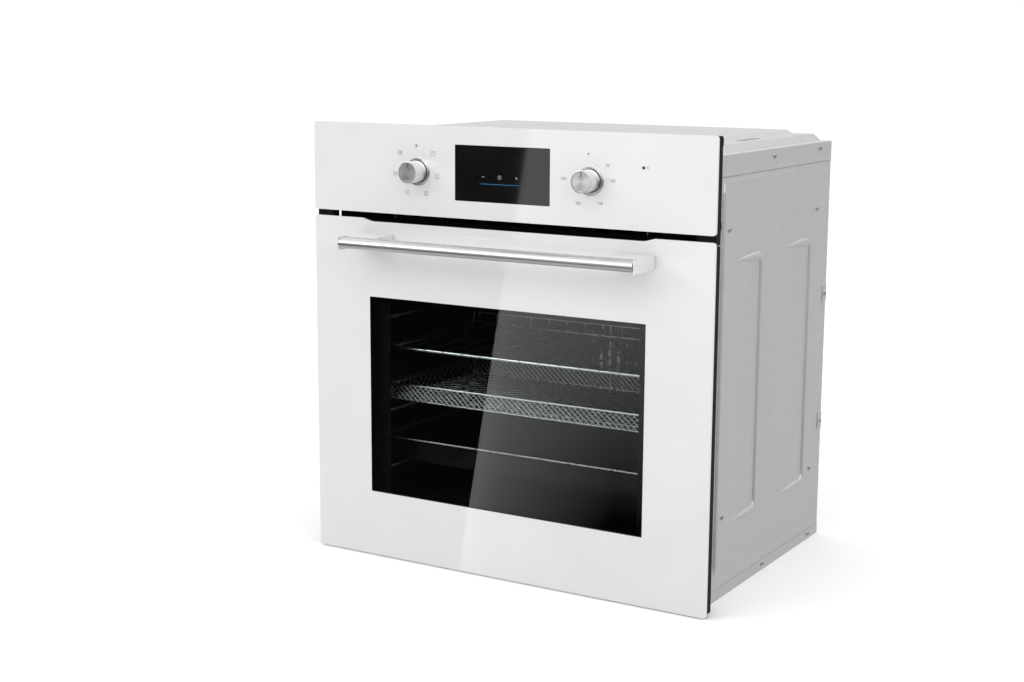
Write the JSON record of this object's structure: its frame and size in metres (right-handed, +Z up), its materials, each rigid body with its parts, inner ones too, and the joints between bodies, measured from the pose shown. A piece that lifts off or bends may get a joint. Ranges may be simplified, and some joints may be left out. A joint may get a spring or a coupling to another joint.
{
  "type": "built-in wall oven",
  "caption": "Built-in electric wall oven with a white glass drop-down door, bar handle, push-in knobs, touch timer, removable shelves, convection fan and galvanised casing.",
  "frame": {"origin": "on the ground plane, in the middle of the overall width and depth (handle to terminal box)", "axes": "+Z up, -Y towards the person who uses the oven, +X to that person's right"},
  "size_m": [0.595, 0.508, 0.595],
  "materials": {
    "white_glass": "white enamel behind polished glass",
    "white_plastic": "satin",
    "black_plastic": "satin",
    "clear_glass": "polished, lightly tinted",
    "galvanised_steel": "galvanised, fine spangle",
    "black_enamel": "gloss vitreous enamel",
    "chromed_wire": "bright",
    "stainless_steel": "plain",
    "brushed_aluminium": "brushed and anodised",
    "heating_tube": "heat-darkened",
    "glass_wool": "matt fibre",
    "white_ceramic": "unglazed",
    "motor_steel": "plain",
    "seal_rubber": "matt",
    "red_lens": "clear red"
  },
  "bodies": {
    "chassis": {"base_plate": "galvanised_steel", "side_panel_left": "galvanised_steel", "side_panel_right": "galvanised_steel", "top_cover": "galvanised_steel", "rear_cover": "galvanised_steel", "front_frame": "black_enamel", "panel_carrier": "galvanised_steel", "air_outlet_grille": "black_plastic", "air_duct": "galvanised_steel", "terminal_box": "black_plastic", "cavity_shell": "black_enamel", "insulation_blanket": "glass_wool", "fan_baffle": "black_enamel", "ring_element": "heating_tube", "grill_element": "heating_tube", "bottom_element": "heating_tube", "fan_motor": "motor_steel", "cooling_fan_motor": "motor_steel", "lamp_holder": "white_ceramic", "lamp_bulb": "clear_glass", "lamp_lens": "clear_glass", "temperature_probe": "stainless_steel", "shelf_ladder_left": "chromed_wire", "shelf_ladder_right": "chromed_wire", "door_seal": "seal_rubber", "hinge_receiver_left": "galvanised_steel", "hinge_receiver_right": "galvanised_steel", "hinge_arm_left": "galvanised_steel", "hinge_arm_right": "galvanised_steel", "control_panel_glass": "white_glass", "control_panel_housing": "black_plastic", "display_module": "black_plastic", "pilot_lamp": "red_lens", "selector_switch": "white_plastic", "thermostat_body": "white_plastic", "knob_bezel_left": "brushed_aluminium", "knob_bezel_right": "brushed_aluminium"},
    "door": {"door_outer_glass": "white_glass", "door_middle_glass": "clear_glass", "door_inner_glass": "clear_glass", "door_post_left": "black_plastic", "door_post_right": "black_plastic", "door_top_rail": "black_plastic", "door_bottom_rail": "black_plastic", "hinge_channel_left": "galvanised_steel", "hinge_channel_right": "galvanised_steel", "hinge_pin_left": "stainless_steel", "hinge_pin_right": "stainless_steel", "handle_bar": "brushed_aluminium", "handle_bracket_left": "white_plastic", "handle_bracket_right": "white_plastic"},
    "convection_fan": {"convection_fan_wheel": "stainless_steel"},
    "cooling_fan": {"cooling_fan_drum": "galvanised_steel"},
    "selector_spindle": {"selector_spindle": "stainless_steel"},
    "selector_knob": {"selector_knob": "brushed_aluminium"},
    "thermostat_spindle": {"thermostat_spindle": "stainless_steel"},
    "thermostat_knob": {"thermostat_knob": "brushed_aluminium"},
    "wire_rack": {"wire_rack": "chromed_wire"},
    "fry_basket": {"fry_basket": "chromed_wire"},
    "baking_tray": {"baking_tray": "black_enamel"}
  },
  "joints": [
    {"name": "door_hinge", "type": "hinge", "parent": "chassis", "child": "door", "pos_m": [0, -0.182, 0.016], "axis": [1, 0, 0], "range_deg": [0, 90], "stiffness_Nm_per_rad": 6, "springref_deg": -17.19},
    {"name": "convection_fan_spin", "type": "hinge", "parent": "chassis", "child": "convection_fan", "pos_m": [0, 0.121, 0.245], "axis": [0, 1, 0], "continuous": true},
    {"name": "cooling_fan_spin", "type": "hinge", "parent": "chassis", "child": "cooling_fan", "pos_m": [0, 0.089, 0.47], "axis": [1, 0, 0], "continuous": true},
    {"name": "selector_turn", "type": "hinge", "parent": "chassis", "child": "selector_spindle", "pos_m": [-0.128, -0.196, 0.5345], "axis": [0, 1, 0], "continuous": true},
    {"name": "selector_push", "type": "slide", "parent": "selector_spindle", "child": "selector_knob", "axis": [0, 1, 0], "range_m": [0, 0.018], "stiffness_N_per_m": 60, "springref_m": -0.005},
    {"name": "thermostat_turn", "type": "hinge", "parent": "chassis", "child": "thermostat_spindle", "pos_m": [0.128, -0.196, 0.5345], "axis": [0, 1, 0], "range_deg": [0, 290]},
    {"name": "thermostat_push", "type": "slide", "parent": "thermostat_spindle", "child": "thermostat_knob", "axis": [0, 1, 0], "range_m": [0, 0.018], "stiffness_N_per_m": 60, "springref_m": -0.005},
    {"name": "rack_slide", "type": "slide", "parent": "chassis", "child": "wire_rack", "axis": [0, -1, 0], "range_m": [0, 0.015]},
    {"name": "basket_slide", "type": "slide", "parent": "chassis", "child": "fry_basket", "axis": [0, -1, 0], "range_m": [0, 0.015]},
    {"name": "tray_slide", "type": "slide", "parent": "chassis", "child": "baking_tray", "axis": [0, -1, 0], "range_m": [0, 0.015]}
  ]
}
